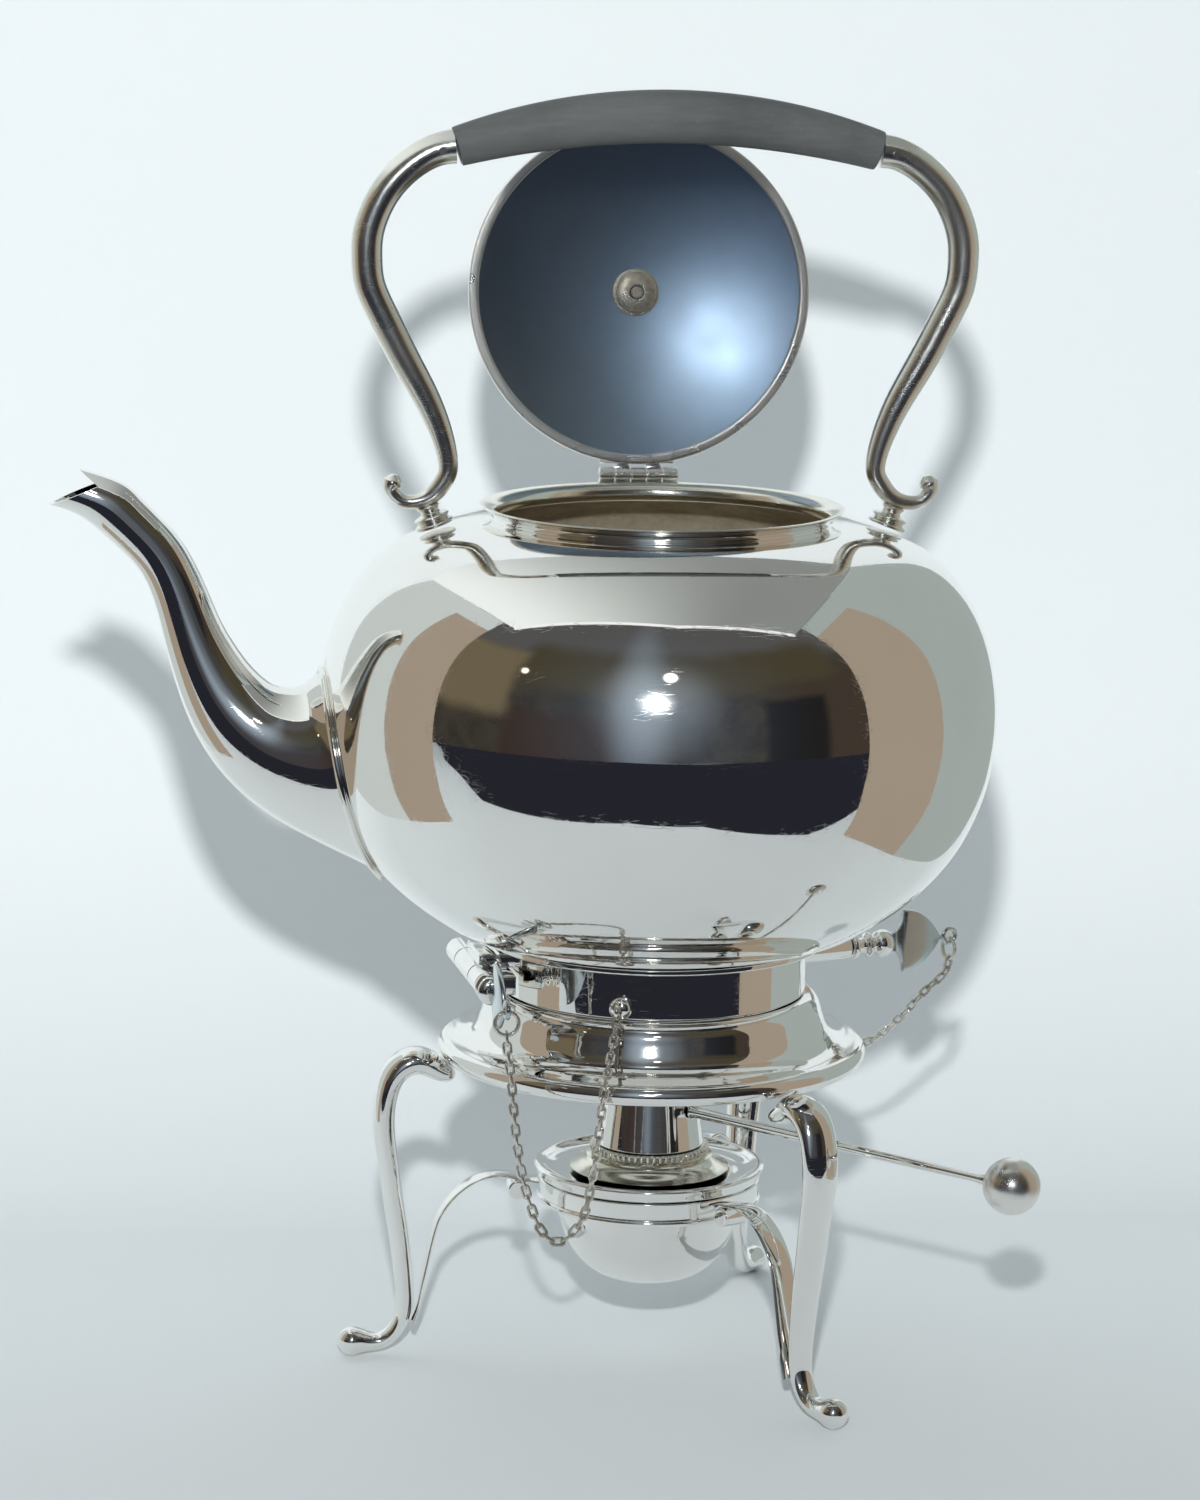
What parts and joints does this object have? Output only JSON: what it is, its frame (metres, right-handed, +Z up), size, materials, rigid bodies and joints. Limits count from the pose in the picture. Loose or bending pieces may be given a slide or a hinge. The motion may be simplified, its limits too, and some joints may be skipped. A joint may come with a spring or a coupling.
{
  "type": "spirit kettle on stand",
  "caption": "Polished silver spirit kettle with dark grip, tilting on a tripod stand over its burner, held by chained pins, with the hinged lid swung open.",
  "frame": {"origin": "on the floor under the middle of the object's box, where the three toes rest at z = 0", "axes": "+Z up, the spout points to -X, the lid's hinge is on the +Y side"},
  "size_m": [0.251, 0.1792, 0.3395],
  "materials": {
    "polished_silver": "polished silver with fine wear scratches",
    "worn_silver": "tarnished silver",
    "chain_silver": "silver chain with tarnish in its links",
    "black_grip": "ebonised, satin",
    "cotton_wick": "cotton wick"
  },
  "bodies": {
    "stand": {"hinge_knuckle_far": "polished_silver", "hinge_knuckle_near": "polished_silver", "stand_ring": "polished_silver", "stand_flange": "polished_silver", "leg_1": "polished_silver", "leg_2": "polished_silver", "leg_3": "polished_silver", "strap_1": "polished_silver", "strap_2": "polished_silver", "strap_3": "polished_silver", "burner_holder": "polished_silver", "lock_socket": "polished_silver", "chain_eyelet_near": "polished_silver", "chain_eyelet_back": "polished_silver"},
    "kettle": {"kettle_body": "polished_silver", "kettle_neck": "polished_silver", "kettle_base_ring": "polished_silver", "kettle_hinge_lug": "polished_silver", "kettle_lock_lug": "polished_silver", "spout": "polished_silver", "spout_band": "polished_silver", "handle_foot_spout_side": "polished_silver", "handle_foot_lock_side": "polished_silver", "handle_arm_spout_side": "polished_silver", "handle_arm_lock_side": "polished_silver", "handle_grip": "black_grip", "grip_pin_spout_side": "polished_silver", "grip_pin_lock_side": "polished_silver", "lid_leaf_fixed": "polished_silver", "lid_hinge_pin": "polished_silver"},
    "lid": {"lid_shell": "polished_silver", "lid_bezel": "polished_silver", "lid_leaf_swung": "polished_silver", "lid_washer": "worn_silver", "lid_nut": "worn_silver", "lid_stud": "worn_silver", "finial_base": "polished_silver", "finial_knob": "black_grip"},
    "hinge_pin": {"hinge_pin": "polished_silver", "hinge_pin_wing": "polished_silver", "hinge_pin_link_ring": "chain_silver", "hinge_pin_chain": "chain_silver"},
    "lock_pin": {"lock_pin": "polished_silver", "lock_pin_wing": "polished_silver", "lock_pin_link_ring": "chain_silver", "lock_pin_chain": "chain_silver"},
    "burner": {"burner_bowl": "polished_silver", "burner_dish": "polished_silver", "burner_collar": "worn_silver", "wick_tube": "worn_silver", "wick": "cotton_wick"},
    "snuffer": {"snuffer_sleeve": "polished_silver", "snuffer_rod": "polished_silver", "snuffer_ball": "polished_silver"}
  },
  "joints": [
    {"name": "kettle_tilt", "type": "hinge", "parent": "stand", "child": "kettle", "pos_m": [-0.01384, -0.00444, 0.1078], "axis": [0.0906, -0.9959, 0], "range_deg": [0, 58]},
    {"name": "lid_hinge", "type": "hinge", "parent": "kettle", "child": "lid", "pos_m": [0.03496, 0.0496, 0.2326], "axis": [1, 0, 0], "range_deg": [0, 95.5]},
    {"name": "hinge_pin_pull", "type": "slide", "parent": "stand", "child": "hinge_pin", "axis": [0.0906, -0.9959, 0], "range_m": [0, 0.04]},
    {"name": "lock_pin_pull", "type": "slide", "parent": "stand", "child": "lock_pin", "axis": [0.9291, 0.3697, 0], "range_m": [0, 0.02]},
    {"name": "burner_lift", "type": "slide", "parent": "stand", "child": "burner", "axis": [0, 0, 1], "range_m": [0, 0.01]},
    {"name": "snuffer_turn", "type": "hinge", "parent": "burner", "child": "snuffer", "pos_m": [0.03496, 0, 0.0584], "axis": [0, 0, 1], "range_deg": [-10, 50]}
  ]
}
